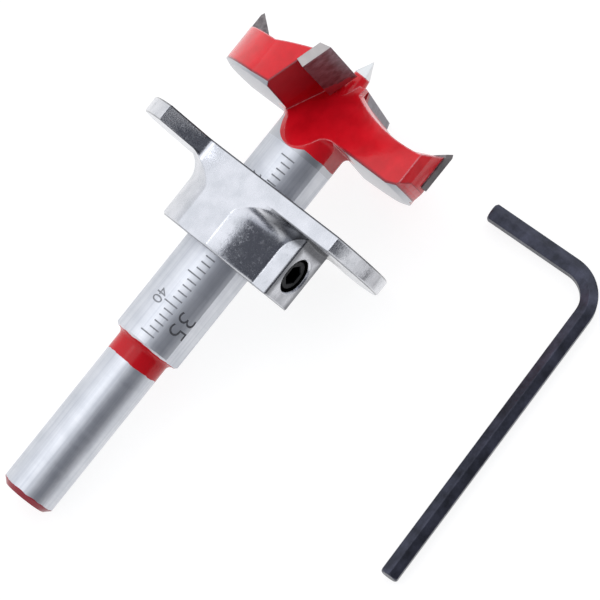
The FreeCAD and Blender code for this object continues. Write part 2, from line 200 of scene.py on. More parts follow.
joints = {joint["name"]: joint for joint in frame["joints"]}
mounts = {mount["name"]: mount for mount in frame["record"]["mounts"]}
nodes = frame["nodes"]

tool_axis = Vector(joints["collar_slide"]["axis"]).normalized()
screw_axis = Vector(joints["screw_travel"]["axis"]).normalized()
shoulder = Vector(mounts["shank"]["pos_m"]) + tool_axis * shank_mount_depth * MM


def tool_frame():
    """Matrix from the tool's own frame, in metres, to the frame of the model."""
    across = tool_axis.cross(screw_axis)
    turn = math.radians(90 - screw_bearing)
    x_axis = screw_axis * math.cos(turn) + across * math.sin(turn)
    y_axis = tool_axis.cross(x_axis)
    axes = Matrix((x_axis, y_axis, tool_axis)).transposed()
    return Matrix.Translation(shoulder) @ axes.to_4x4()


tool_matrix = tool_frame()
tool_rotation = tool_matrix.to_euler()


def bearing_vector(bearing):
    angle = math.radians(bearing)
    return Vector((math.sin(angle), -math.cos(angle), 0))


def metres(pair):
    """A pair of lengths in millimetres, as metres."""
    return pair[0] * MM, pair[1] * MM


def radians(pair):
    """A pair of bearings in degrees, as radians."""
    return math.radians(pair[0]), math.radians(pair[1])


# Colours and nodes

def linear(hex_colour):
    """An sRGB hex colour as linear red, green, blue and alpha."""
    channels = []
    for start in (1, 3, 5):
        value = int(hex_colour[start:start + 2], 16) / 255
        if value <= 0.04045:
            channels.append(value / 12.92)
        else:
            channels.append(((value + 0.055) / 1.055) ** 2.4)
    return (*channels, 1.0)


def give(tree, node, values):
    """Gives a node's inputs, by name or by number, a value or a link.

    A node given as a value stands for its first output in use.
    """
    for key, value in values.items():
        if isinstance(value, bpy.types.Node):
            value = next(output for output in value.outputs if output.enabled)
        if isinstance(value, bpy.types.NodeSocket):
            tree.links.new(value, node.inputs[key])
        else:
            node.inputs[key].default_value = value


def add(tree, kind, *values, named=None, **settings):
    """Adds a node with its settings and links.

    The plain values go to its inputs in use from the top down, and the others go by name.
    """
    node = tree.nodes.new(kind)
    for name, value in settings.items():
        setattr(node, name, value)
    in_use = [number for number, socket in enumerate(node.inputs) if socket.enabled]
    give(tree, node, dict(zip(in_use, values)))
    give(tree, node, named or {})
    return node


def overlap(tree, first, *others):
    """Where all of these masks meet, which is their product."""
    for mask in others:
        first = add(tree, MATH, first, mask, operation="MULTIPLY")
    return first


def any_of(tree, first, *others):
    """Where there is any of these masks, which is the largest of them."""
    for mask in others:
        first = add(tree, MATH, first, mask, operation="MAXIMUM")
    return first


def new_material(name):
    material = bpy.data.materials.new(name)
    material.use_nodes = True
    tree = material.node_tree
    shader = tree.nodes["Principled BSDF"]
    return material, tree, shader


# What the materials read from a piece

def tool_place(tree):
    """The point in the tool's frame: Z is the height above the shoulder, in metres."""
    point = add(tree, "ShaderNodeTexCoord").outputs["Object"]
    return add(tree, "ShaderNodeMapping", point, shoulder, tool_rotation, vector_type="TEXTURE")


def away_from(tree, start, axis):
    """The vector from an axis of the model straight out to this point."""
    point = add(tree, "ShaderNodeTexCoord").outputs["Object"]
    reach = add(tree, VECTOR_MATH, point, start, operation="SUBTRACT")
    along = add(tree, VECTOR_MATH, reach, axis, operation="PROJECT")
    return add(tree, VECTOR_MATH, reach, along, operation="SUBTRACT")


def tool_radius(tree):
    """How far this point is from the tool's axis."""
    return add(tree, VECTOR_MATH, away_from(tree, shoulder, tool_axis), operation="LENGTH")


def outward(tree):
    """The unit direction from the tool's axis to this point."""
    return add(tree, VECTOR_MATH, away_from(tree, shoulder, tool_axis), operation="NORMALIZE")


def facing(tree, direction):
    """How far the face looks along a unit direction: 1 along it, 0 square to it, -1 away."""
    face = add(tree, "ShaderNodeNewGeometry").outputs["True Normal"]
    return add(tree, VECTOR_MATH, face, direction, operation="DOT_PRODUCT")


def grain(tree, place, across, stretch=(1, 1, 1), detail=2.0, roughness=0.5):
    """Noise with grains about this many millimetres across, longer where stretch is over 1."""
    scale = Vector([1 / (across * MM * share) for share in stretch])
    scaled = add(tree, VECTOR_MATH, place, scale, operation="MULTIPLY")
    return add(
        tree,
        "ShaderNodeTexNoise",
        named={"Vector": scaled, "Scale": 1.0, "Detail": detail, "Roughness": roughness},
    )


def relief(tree, shader, height, depth, rounding):
    """Fine relief this many millimetres deep, on edges that look rounded by a radius in metres."""
    rounded = add(tree, "ShaderNodeBevel", rounding, samples=6)
    bump = add(
        tree,
        "ShaderNodeBump",
        named={"Height": height, "Strength": 1.0, "Distance": depth * MM, "Normal": rounded},
    )
    give(tree, shader, {"Normal": bump})


# Materials

def ground_steel():
    """Cylindrically ground carbon steel: a satin metal with very fine rings round the bar.

    Faint streaks run along it from the drawing of the bar before it was ground. Red enamel
    covers the chamfered end and the band below the shoulder, where the bar was dipped.
    """
    material, tree, shader = new_material("cylindrically_ground_steel")
    place = tool_place(tree)
    height = add(tree, SEPARATE, place).outputs["Z"]
    # Real grinding marks are finer than a pixel, so the rings are drawn coarser.
    rings = grain(tree, place, across=0.12, stretch=(60, 60, 1), detail=3)
    stains = grain(tree, place, across=3.5, detail=4)
    streaks = grain(tree, place, across=0.45, stretch=(1, 1, 50), detail=3)
    waves = grain(tree, place, across=2.0)

    waver = add(tree, RANGE, waves, *usual_noise, *metres((-dip_waver, dip_waver)))
    edge = add(tree, MATH, height, waver, operation="ADD")
    above_foot = add(tree, RANGE, edge, *metres(band_foot))
    below_top = add(tree, RANGE, edge, *metres(band_top), 1.0, 0.0)
    end = add(tree, RANGE, edge, *metres(dipped_end), 1.0, 0.0)
    paint = any_of(tree, overlap(tree, above_foot, below_top), end)

    stained = add(tree, RANGE, stains, 0.35, 0.7)
    streaked = add(tree, RANGE, streaks, 0.45, 0.66, 0.0, 0.35)
    steel = add(tree, MIX, stained, linear("#d8dadf"), linear("#cacdd3"), data_type="RGBA")
    steel = add(tree, MIX, streaked, steel, linear("#acb0ba"), data_type="RGBA")
    red = add(tree, MIX, stains, linear("#b80d19"), linear("#c4141f"), data_type="RGBA")
    red = add(tree, MIX, end, red, linear("#8c0a24"), data_type="RGBA")
    satin = add(tree, RANGE, rings, *usual_noise, 0.41, 0.5)
    give(
        tree,
        shader,
        {
            "Base Color": add(tree, MIX, paint, steel, red, data_type="RGBA"),
            "Metallic": add(tree, MATH, 1.0, paint, operation="SUBTRACT"),
            "Roughness": add(tree, RANGE, paint, 0.0, 1.0, satin, 0.22),
            "Specular IOR Level": 0.3,
        },
    )
    coat = add(tree, RANGE, paint, 0.0, 1.0, 0.0, 0.35)
    surface = add(tree, MATH, rings, 0.02, coat, operation="MULTIPLY_ADD")
    rounding = add(tree, RANGE, height, *metres(joint_line), 0.12 * MM, 0.0)
    relief(tree, shader, surface, depth=0.02, rounding=rounding)
    return material


def painted_from(tree, place):
    """The height from which the head is painted: a round tongue on the near side of the neck.

    The bearing is folded at 90 degrees, so that both halves of the head are painted alike.
    """
    axes = add(tree, SEPARATE, place).outputs
    ahead = add(tree, MATH, axes["Y"], -1.0, operation="MULTIPLY")
    slope = add(tree, MATH, axes["X"], ahead, operation="DIVIDE")
    bearing = add(tree, MATH, slope, operation="ARCTANGENT")
    aside = add(tree, MATH, bearing, math.radians(tongue_bearing), operation="SUBTRACT")
    widths = add(tree, MATH, aside, math.radians(tongue_half_width), operation="DIVIDE")
    curve = add(tree, MATH, widths, widths, operation="MULTIPLY")
    rise = (head_paint_edge - tongue_tip) * MM
    tongue = add(tree, MATH, curve, rise, tongue_tip * MM, operation="MULTIPLY_ADD")
    left = add(tree, RANGE, bearing, *radians(tongue_side), 1.0, 0.0)
    not_back = add(tree, RANGE, bearing, *radians(neck_back))
    bare_side = overlap(tree, left, not_back)
    cap = add(tree, RANGE, bare_side, 0.0, 1.0, *metres((head_paint_edge, lobe_paint_edge)))
    return add(tree, MATH, tongue, cap, operation="MINIMUM")


def thick_paint(tree, radius):
    """Painted shade on the faces below the cutters, where the red is drawn darker."""
    forward = add(tree, VECTOR_MATH, tool_axis, outward(tree), operation="CROSS_PRODUCT")
    below_cutter = add(tree, RANGE, facing(tree, forward), 0.7, 0.9)
    off_centre = add(tree, RANGE, radius, *metres(cutter_seat_radius), 0.0, 0.8)
    return overlap(tree, below_cutter, off_centre)


def rubbed_paint(tree, patches, upward):
    """How strongly the painted highlight is drawn along the edges, in patches, and not on the underside.

    Rounding an edge turns the direction of a face away from its true one.
    """
    rounded = add(tree, "ShaderNodeBevel", edge_highlight_width * MM, samples=8)
    on_edge = add(tree, RANGE, facing(tree, rounded), 0.95, 0.992, 1.0, 0.0)
    not_under = add(tree, RANGE, upward, -0.3, -0.1)
    patchy = add(tree, RANGE, patches, 0.25, 0.65, 0.2, 0.75)
    return overlap(tree, on_edge, not_under, patchy)


def gathered_paint(tree, radius, upward):
    """Painted shade in a line along the lobes' lower edges, where the red is drawn darker."""
    rounded = add(tree, "ShaderNodeBevel", lower_edge_shade_width * MM, samples=8)
    rounded_upward = add(tree, VECTOR_MATH, rounded, tool_axis, operation="DOT_PRODUCT")
    bent_down = add(tree, MATH, upward, rounded_upward, operation="SUBTRACT")
    low_edge = add(tree, RANGE, bent_down, 0.05, 0.18, 0.0, 0.85)
    on_side = add(tree, RANGE, upward, 0.3, 0.5, 1.0, 0.0)
    on_lobe = add(tree, RANGE, radius, *metres(lobe_radius))
    return overlap(tree, low_edge, on_side, on_lobe)


def red_enamel():
    """Baked gloss enamel on cast steel: deep red, with the casting's slight ripple under the gloss.

    The edges carry a pale painted highlight, and the faces below the cutters and a line along
    the lobes' lower edges carry darker painted shade. The paint stops on the neck, and the milled
    underside of the lobes is bare steel.
    """
    material, tree, shader = new_material("baked_red_enamel")
    place = tool_place(tree)
    height = add(tree, SEPARATE, place).outputs["Z"]
    radius = tool_radius(tree)
    upward = facing(tree, tool_axis)
    ripple = grain(tree, place, across=2.2, detail=3)
    fine = grain(tree, place, across=0.5, detail=2)
    waves = grain(tree, place, across=2.5)

    waver = add(tree, RANGE, waves, *usual_noise, *metres((-paint_waver, paint_waver)))
    edge = add(tree, MATH, height, waver, operation="ADD")
    over = add(tree, MATH, edge, painted_from(tree, place), operation="SUBTRACT")
    neck = add(tree, RANGE, over, *metres(paint_edge), 1.0, 0.0)
    down = add(tree, RANGE, upward, -0.5, -0.34, 1.0, 0.0)
    wavering_radius = add(tree, MATH, radius, waver, operation="ADD")
    milled = add(tree, RANGE, wavering_radius, *metres(milled_radius))
    bare = any_of(tree, neck, overlap(tree, down, milled))

    rippled = add(tree, RANGE, ripple, *usual_noise)
    red = add(tree, MIX, rippled, linear("#c90a19"), linear("#dd1020"), data_type="RGBA")
    # Painted shade below the cutters, a painted highlight along the edges and painted shade along the lobes' lower
    # edges, then the bare steel
    for share, hex_colour in (
        (thick_paint(tree, radius), "#960716"),
        (rubbed_paint(tree, fine, upward), "#f0a5ad"),
        (gathered_paint(tree, radius, upward), "#6c1322"),
        (bare, "#bdbfc4"),
    ):
        red = add(tree, MIX, share, red, linear(hex_colour), data_type="RGBA")
    gloss = add(tree, RANGE, fine, *usual_noise, 0.2, 0.27)
    milled_finish = add(tree, MATH, bare, 0.42, operation="MULTIPLY")
    give(
        tree,
        shader,
        {
            "Base Color": red,
            "Metallic": bare,
            "Roughness": add(tree, MATH, gloss, milled_finish, operation="MAXIMUM"),
            "Specular IOR Level": 0.35,
            "Coat Weight": 0.25,
            "Coat Roughness": 0.12,
        },
    )
    surface = add(tree, MATH, fine, 0.02, ripple, operation="MULTIPLY_ADD")
    rounding = add(tree, RANGE, over, *metres(head_rounding_start), 0.0, head_rounding * MM)
    relief(tree, shader, surface, depth=0.07, rounding=rounding)
    return material


def smeared_paint(tree, place, mottle):
    """How much red paint lies over the inner end of a main cutter, up to a ragged edge."""
    height = add(tree, SEPARATE, place).outputs["Z"]
    below = add(tree, MATH, smear_level * MM, height, operation="SUBTRACT")
    reach = add(tree, MATH, below, smear_spread, smear_radius * MM, operation="MULTIPLY_ADD")
    rags = metres((-smear_raggedness, smear_raggedness))
    ragged = add(tree, RANGE, mottle, 0.35, 0.65, *rags)
    limit = add(tree, MATH, reach, ragged, operation="ADD")
    inside = add(tree, MATH, limit, tool_radius(tree), operation="SUBTRACT")
    return add(tree, RANGE, inside, *metres(smear_edge), 0.0, 0.9)


def tungsten_carbide(name, dark, pale, ground, smear=False):
    """Ground tungsten carbide: a dark warm grey metal, mottled where the braze has tinted it.

    The outer end faces are drawn paler, as painted light. The main cutters have the head's red
    paint over their inner ends.
    """
    material, tree, shader = new_material(name)
    place = tool_place(tree)
    mottle = grain(tree, place, across=1.1, detail=5, roughness=0.65)
    # Real grinding marks are finer than a pixel, so these are drawn coarser.
    lines = grain(tree, place, across=0.08, stretch=(1, 12, 12), detail=2)
    mottled = add(tree, RANGE, mottle, 0.38, 0.66)
    # Painted light: the outer end faces are drawn in the colour given as ground, as if lit.
    painted_light_on_end_faces = add(tree, RANGE, facing(tree, outward(tree)), 0.6, 0.8, 0.0, 0.8)
    colour = add(tree, MIX, mottled, linear(dark), linear(pale), data_type="RGBA")
    colour = add(tree, MIX, painted_light_on_end_faces, colour, linear(ground), data_type="RGBA")
    metallic = 0.9
    if smear:
        paint = smeared_paint(tree, place, mottle)
        colour = add(tree, MIX, paint, colour, linear("#a00c1c"), data_type="RGBA")
        metallic = add(tree, RANGE, paint, 0.0, 1.0, metallic, 0.0)
    satin = add(tree, RANGE, mottle, *usual_noise, 0.3, 0.46)
    give(tree, shader, {"Base Color": colour, "Metallic": metallic, "Roughness": satin})
    relief(tree, shader, lines, depth=0.006, rounding=0.05 * MM)
    return material


def machined_lines(tree, height, radius):
    """Painted shade: dark lines along both edges of the flange and along the hub's foot."""
    top = add(tree, RANGE, height, *metres(top_line), 0.0, 0.85)
    foot = add(tree, RANGE, height, *metres(foot_line), 0.5, 0.0)
    far_out = add(tree, RANGE, radius, *metres(rim_radius), 0.0, 0.6)
    below_rim = add(tree, RANGE, height, *metres(rim_line), 1.0, 0.0)
    flatness = add(tree, MATH, facing(tree, tool_axis), operation="ABSOLUTE")
    upright = add(tree, RANGE, flatness, 0.8, 0.9, 1.0, 0.0)
    return overlap(tree, any_of(tree, top, foot, overlap(tree, far_out, below_rim)), upright)


def screw_side(tree, place):
    """1 on the side of the collar that the set screw is on."""
    axes = add(tree, SEPARATE, place).outputs
    ahead = add(tree, MATH, axes["Y"], -1.0, operation="MULTIPLY")
    bearing = add(tree, MATH, axes["X"], ahead, operation="ARCTAN2")
    after_start = add(tree, RANGE, bearing, *radians(screw_side_start))
    before_end = add(tree, RANGE, bearing, *radians(screw_side_end), 1.0, 0.0)
    return overlap(tree, after_start, before_end)


def casting_skin(tree, height, radius):
    """Painted shade in the corner under the flange, strongest close to it."""
    above_foot = add(tree, RANGE, height, *metres(flange_shade_foot), 0.0, 0.8)
    below_top = add(tree, RANGE, height, *metres(flange_shade_top), 1.0, 0.0)
    inner = add(tree, RANGE, radius, *metres(flange_shade_radius), 1.0, 0.0)
    return overlap(tree, above_foot, below_top, inner)


def tapped_hole(tree, along_screw):
    """Painted shade on the wall of the set screw's hole, and not on the milled face round its mouth."""
    start = shoulder + tool_axis * screw_level * MM
    distance = add(tree, VECTOR_MATH, away_from(tree, start, screw_axis), operation="LENGTH")
    close = add(tree, RANGE, distance, *metres(tapped_hole_radius), 0.97, 0.0)
    not_face = add(tree, RANGE, along_screw, 0.3, 0.5, 1.0, 0.0)
    return overlap(tree, close, not_face)


def cast_aluminium():
    """Tumbled aluminium casting: a bright satin metal with fine pits and flecks from the mould.

    Painted shade darkens lines along the edges, the tapped hole, and the corner under the flange
    beside the screw. The milled face round the screw is drawn greyer, as a painted dark
    reflection.
    """
    material, tree, shader = new_material("tumbled_cast_aluminium")
    place = tool_place(tree)
    height = add(tree, SEPARATE, place).outputs["Z"]
    radius = tool_radius(tree)
    along_screw = facing(tree, screw_axis)
    cloud = grain(tree, place, across=2.4, detail=4)
    skin = grain(tree, place, across=0.35, detail=3, roughness=0.6)
    flecks = grain(tree, place, across=0.55, detail=4, roughness=0.7)
    # Pits finer than a pixel wouldn't show, so these are drawn 0.8 mm apart.
    pits = add(
        tree,
        "ShaderNodeTexVoronoi",
        named={"Vector": place, "Scale": 1 / (0.8 * MM), "Randomness": 1.0},
    )

    clouded = add(tree, RANGE, cloud, 0.35, 0.65)
    tumbled = add(tree, MIX, clouded, linear("#d3d4d9"), linear("#c5c7cc"), data_type="RGBA")
    # Painted reflection: the milled face round the screw is drawn greyer, for the dark it reflects.
    milled = add(tree, MIX, clouded, linear("#a2a3a8"), linear("#c9cacf"), data_type="RGBA")
    round_screw = add(tree, RANGE, along_screw, 0.97, 0.99)
    colour = add(tree, MIX, round_screw, tumbled, milled, data_type="RGBA")
    near_screw = screw_side(tree, place)
    # Painted shade: the dark lines along the edges, the corner under the flange and the screw hole.
    dark = any_of(
        tree,
        machined_lines(tree, height, radius),
        overlap(tree, casting_skin(tree, height, radius), near_screw),
        overlap(tree, tapped_hole(tree, along_screw), near_screw),
    )

    smooth = add(tree, RANGE, skin, *usual_noise, 0.15, 0.24)
    smudged = add(tree, RANGE, cloud, 0.45, 0.62, 0.0, 0.09)
    flecked = add(tree, RANGE, flecks, 0.56, 0.68)
    dull = add(tree, MATH, flecked, 0.25, smudged, operation="MULTIPLY_ADD")
    give(
        tree,
        shader,
        {
            "Base Color": add(tree, MIX, dark, colour, linear("#2a2b30"), data_type="RGBA"),
            "Metallic": 1.0,
            "Roughness": add(tree, MATH, smooth, dull, operation="ADD"),
        },
    )
    pitted = add(tree, RANGE, pits, 0.05, 0.16)
    surface = add(tree, MATH, pitted, 0.35, skin, operation="MULTIPLY_ADD")
    relief(tree, shader, surface, depth=0.014, rounding=0.32 * MM)
    return material


def black_oxide(name, rounding, metallic, dark, worn):
    """Blackened spring steel: a satin blue-black skin that has worn a little lighter in places."""
    material, tree, shader = new_material(name)
    place = add(tree, "ShaderNodeTexCoord").outputs["Object"]
    wear = grain(tree, place, across=2.5, detail=5, roughness=0.6)
    skin = grain(tree, place, across=0.3, detail=3)
    worn_share = add(tree, RANGE, wear, 0.35, 0.7)
    colour = add(tree, MIX, worn_share, linear(dark), linear(worn), data_type="RGBA")
    satin = add(tree, RANGE, skin, *usual_noise, 0.3, 0.42)
    give(tree, shader, {"Base Color": colour, "Metallic": metallic, "Roughness": satin})
    relief(tree, shader, skin, depth=0.012, rounding=rounding * MM)
    return material


def etched_mark(name, dark, pale):
    """Laser-etched mark: a matt grey burn in the ground steel, fainter where the beam skipped."""
    material, tree, shader = new_material(name)
    place = add(tree, "ShaderNodeTexCoord").outputs["Object"]
    burn = add(tree, RANGE, grain(tree, place, across=0.4, detail=3), *usual_noise)
    colour = add(tree, MIX, burn, linear(dark), linear(pale), data_type="RGBA")
    give(tree, shader, {"Base Color": colour, "Metallic": 0.4, "Roughness": 0.6})
    return material


def dress(node, material):
    """Gives a node of the model its material, and leaves its mesh as it is."""
    for slot in nodes[node].material_slots:
        slot.material = material


steel = ground_steel()
enamel = red_enamel()
cutter_carbide = tungsten_carbide("brazed_tungsten_carbide", "#58545c", "#87858d", "#a19d9b", smear=True)
spur_carbide = tungsten_carbide("ground_tungsten_carbide", "#5d585a", "#8b8686", "#5d585a")
point_carbide = tungsten_carbide("polished_tungsten_carbide", "#c4c7c9", "#dcdfdf", "#dcdfdf")
aluminium = cast_aluminium()
key_black = black_oxide("black_oxide_key_steel", 0.25, 0.75, "#30323b", "#4c4e5d")
screw_black = black_oxide("black_oxide_screw_steel", 0.05, 1.0, "#0c0d10", "#131418")
scale_etching = etched_mark("laser_etched_scale", "#77797e", "#95979c")
size_etching = etched_mark("laser_etched_size", "#46474b", "#5d5e63")

dress("shank_barrel", steel)
dress("cutter_head", enamel)
for side in ("a", "b"):
    dress("main_cutter_" + side, cutter_carbide)
    dress("spur_" + side, spur_carbide)
dress("centre_point", point_carbide)
dress("stop_collar", aluminium)
dress("hex_key", key_black)


# Pieces made by geometry nodes

def grown_piece(name, grow, material, sizes):
    """A piece that geometry nodes make from named sizes, as a plain mesh with no modifier left.

    The function grow adds the nodes of the shape, from the tree's inputs, and returns the last.
    """
    tree = bpy.data.node_groups.new(name, "GeometryNodeTree")
    identifiers = {}
    for label, size in sizes.items():
        kind = "NodeSocketInt" if isinstance(size, int) else "NodeSocketFloat"
        socket = tree.interface.new_socket(label, in_out="INPUT", socket_type=kind)
        identifiers[label] = socket.identifier
    tree.interface.new_socket("Geometry", in_out="OUTPUT", socket_type="NodeSocketGeometry")
    grown = grow(tree, add(tree, "NodeGroupInput").outputs)
    real = add(tree, "GeometryNodeRealizeInstances", grown)
    dressed = add(tree, "GeometryNodeSetMaterial", named={"Geometry": real, "Material": material})
    add(tree, "NodeGroupOutput", dressed)

    piece = bpy.data.objects.new(name, bpy.data.meshes.new(name))
    bpy.context.collection.objects.link(piece)
    modifier = piece.modifiers.new(name, "NODES")
    modifier.node_group = tree
    for label, size in sizes.items():
        modifier[identifiers[label]] = size
    graph = bpy.context.evaluated_depsgraph_get()
    mesh = bpy.data.meshes.new_from_object(piece.evaluated_get(graph))
    piece.modifiers.clear()
    piece.data = mesh
    return piece


# Marks on the barrel

def grow_strokes(tree, given):
    """A stroke at each reading, longer at every so many, bent round the barrel."""
    line = add(tree, "GeometryNodeMeshLine", named={"Count": given["Strokes"]}, mode="OFFSET")
    index = add(tree, "GeometryNodeInputIndex")
    reading = add(tree, MATH, index, given["First Reading"], operation="ADD")
    drop = add(tree, MATH, reading, given["Spacing"], operation="MULTIPLY")
    level = add(tree, MATH, given["Scale Zero"], drop, operation="SUBTRACT")
    point = add(tree, COMBINE, 0.0, 0.0, level)
    points = add(tree, "GeometryNodeSetPosition", named={"Geometry": line, "Position": point})

    remainder = add(tree, MATH, reading, given["Long Every"], operation="MODULO")
    is_long = add(tree, MATH, remainder, 0.5, operation="LESS_THAN")
    extra = add(tree, MATH, given["Long Stroke"], given["Short Stroke"], operation="SUBTRACT")
    length = add(tree, MATH, is_long, extra, given["Short Stroke"], operation="MULTIPLY_ADD")
    stretch = add(tree, COMBINE, length, 1.0, 1.0)

    flat_stroke = add(
        tree,
        "GeometryNodeMeshGrid",
        named={
            "Size X": 1.0,
            "Size Y": given["Stroke Width"],
            "Vertices X": given["Stroke Columns"],
            "Vertices Y": 2,
        },
    )
    stroke = add(
        tree,
        "GeometryNodeTransform",
        named={"Geometry": flat_stroke, "Translation": (-0.5, 0, 0), "Rotation": (math.pi / 2, 0, 0)},
    )
    strokes = add(
        tree,
        "GeometryNodeInstanceOnPoints",
        named={"Points": points, "Instance": stroke, "Scale": stretch},
    )

    real = add(tree, "GeometryNodeRealizeInstances", strokes)
    axes = add(tree, SEPARATE, add(tree, "GeometryNodeInputPosition")).outputs
    angle = add(tree, MATH, axes["X"], given["Radius"], operation="DIVIDE")
    sine = add(tree, MATH, angle, operation="SINE")
    cosine = add(tree, MATH, angle, operation="COSINE")
    across = add(tree, MATH, sine, given["Radius"], operation="MULTIPLY")
    behind = add(tree, MATH, cosine, given["Radius"], operation="MULTIPLY")
    ahead = add(tree, MATH, behind, -1.0, operation="MULTIPLY")
    bent = add(tree, COMBINE, across, ahead, axes["Z"])
    return add(tree, "GeometryNodeSetPosition", named={"Geometry": real, "Position": bent})


def make_scale():
    """The millimetre strokes along the barrel."""
    sizes = {
        "Strokes": scale_last - scale_first + 1,
        "First Reading": scale_first,
        "Long Every": scale_long_every,
        "Stroke Columns": stroke_columns,
        "Scale Zero": scale_zero * MM,
        "Spacing": scale_spacing * MM,
        "Short Stroke": stroke_length * MM,
        "Long Stroke": long_stroke_length * MM,
        "Stroke Width": stroke_width * MM,
        "Radius": (barrel_radius + mark_lift) * MM,
    }
    piece = grown_piece("scale_strokes", grow_strokes, scale_etching, sizes)
    piece.data.transform(tool_matrix)
    return piece


def number_mesh(text, height, bearing, level, thinning=0.0):
    """A number wrapped on the barrel. It reads towards the shank, its top towards larger bearings."""
    curve = bpy.data.curves.new("number", "FONT")
    curve.body = text
    curve.size = height / figure_share_of_font
    curve.offset = -thinning
    curve.align_x = "CENTER"
    curve.align_y = "CENTER"
    holder = bpy.data.objects.new("number", curve)
    bpy.context.collection.objects.link(holder)
    graph = bpy.context.evaluated_depsgraph_get()
    mesh = bpy.data.meshes.new_from_object(holder.evaluated_get(graph))
    bpy.data.objects.remove(holder)
    radius = barrel_radius + mark_lift
    shape = bmesh.new()
    shape.from_mesh(mesh)
    bmesh.ops.subdivide_edges(shape, edges=shape.edges[:], cuts=figure_cuts, use_grid_fill=True)
    for vertex in shape.verts:
        around = bearing + math.degrees(vertex.co.y / radius)
        spot = bearing_vector(around) * radius
        vertex.co = Vector((spot.x, spot.y, level - vertex.co.x)) * MM
    bmesh.ops.recalc_face_normals(shape, faces=shape.faces[:])
    shape.to_mesh(mesh)
    shape.free()
    return mesh


def joined(name, meshes, material):
    """One piece from several meshes on the barrel, with every face looking outwards."""
    shape = bmesh.new()
    for mesh in meshes:
        shape.from_mesh(mesh)
    for face in shape.faces:
        centre = face.calc_center_median()
        if face.normal.dot(Vector((centre.x, centre.y, 0))) < 0:
            face.normal_flip()
    mesh = bpy.data.meshes.new(name)
    shape.to_mesh(mesh)
    shape.free()
    mesh.transform(tool_matrix)
    mesh.materials.append(material)
    piece = bpy.data.objects.new(name, mesh)
    bpy.context.collection.objects.link(piece)
    return piece


def make_numbers():
    """A reading at every tenth stroke."""
    meshes = []
    for reading in numbered_readings:
        level = scale_zero - reading * scale_spacing
        meshes.append(number_mesh(str(reading), number_height, number_bearing, level))
    return joined("scale_numbers", meshes, scale_etching)


def make_size_mark():
    """The cutting diameter, in larger and darker figures near the shoulder."""
    mesh = number_mesh(
        size_mark_text, size_mark_height, size_mark_bearing, size_mark_level, size_mark_thinning
    )
    return joined("size_mark", [mesh], size_etching)


# The set screw

def grow_thread(tree, given):
    """A threaded rod: a grid wound round an axis, its height a helical wave."""
    columns = add(tree, MATH, given["Steps Per Turn"], 1.0, operation="ADD")
    grid = add(
        tree,
        "GeometryNodeMeshGrid",
        named={"Size X": 1.0, "Size Y": 1.0, "Vertices X": columns, "Vertices Y": given["Rows"]},
    )
    axes = add(tree, SEPARATE, add(tree, "GeometryNodeInputPosition")).outputs
    turn = add(tree, MATH, axes["X"], 0.5, operation="ADD")
    share = add(tree, MATH, axes["Y"], 0.5, operation="ADD")
    along = add(tree, MATH, share, given["Length"], operation="MULTIPLY")

    turns = add(tree, MATH, along, given["Pitch"], operation="DIVIDE")
    wound = add(tree, MATH, turns, turn, operation="SUBTRACT")
    phase = add(tree, MATH, wound, operation="FRACT")
    off_ridge = add(tree, MATH, phase, 0.5, operation="SUBTRACT")
    ridge = add(tree, MATH, off_ridge, operation="ABSOLUTE")
    dip = add(tree, RANGE, ridge, *thread_flank)
    cut = add(tree, MATH, dip, given["Thread Depth"], operation="MULTIPLY")
    thread = add(tree, MATH, given["Crest Radius"], cut, operation="SUBTRACT")

    left = add(tree, MATH, given["Length"], along, operation="SUBTRACT")
    point_cut = add(tree, MATH, given["Point Bevel"], along, operation="SUBTRACT")
    end_cut = add(tree, MATH, given["End Bevel"], left, operation="SUBTRACT")
    bevel_cut = any_of(tree, point_cut, end_cut, 0.0)
    bevel = add(tree, MATH, given["Crest Radius"], bevel_cut, operation="SUBTRACT")
    radius = add(tree, MATH, thread, bevel, operation="MINIMUM")

    angle = add(tree, MATH, turn, 2 * math.pi, operation="MULTIPLY")
    cosine = add(tree, MATH, angle, operation="COSINE")
    sine = add(tree, MATH, angle, operation="SINE")
    across = add(tree, MATH, cosine, radius, operation="MULTIPLY")
    up = add(tree, MATH, sine, radius, operation="MULTIPLY")
    place = add(tree, COMBINE, across, up, along)
    rod = add(tree, "GeometryNodeSetPosition", named={"Geometry": grid, "Position": place})
    return add(
        tree,
        "GeometryNodeMergeByDistance",
        named={"Geometry": rod, "Distance": thread_seam * MM},
    )


def socket_ring(shape, radius, level):
    """The corners of the hexagon socket at one level."""
    ring = []
    for index in range(socket_corners):
        angle = 2 * math.pi * index / socket_corners
        corner = (radius * math.cos(angle) * MM, radius * math.sin(angle) * MM, level * MM)
        ring.append(shape.verts.new(corner))
    return ring


def close_rings(shape, first, second):
    """The flat sides between two rings of corners."""
    for index in range(socket_corners):
        after = (index + 1) % socket_corners
        shape.faces.new((first[index], first[after], second[after], second[index]))


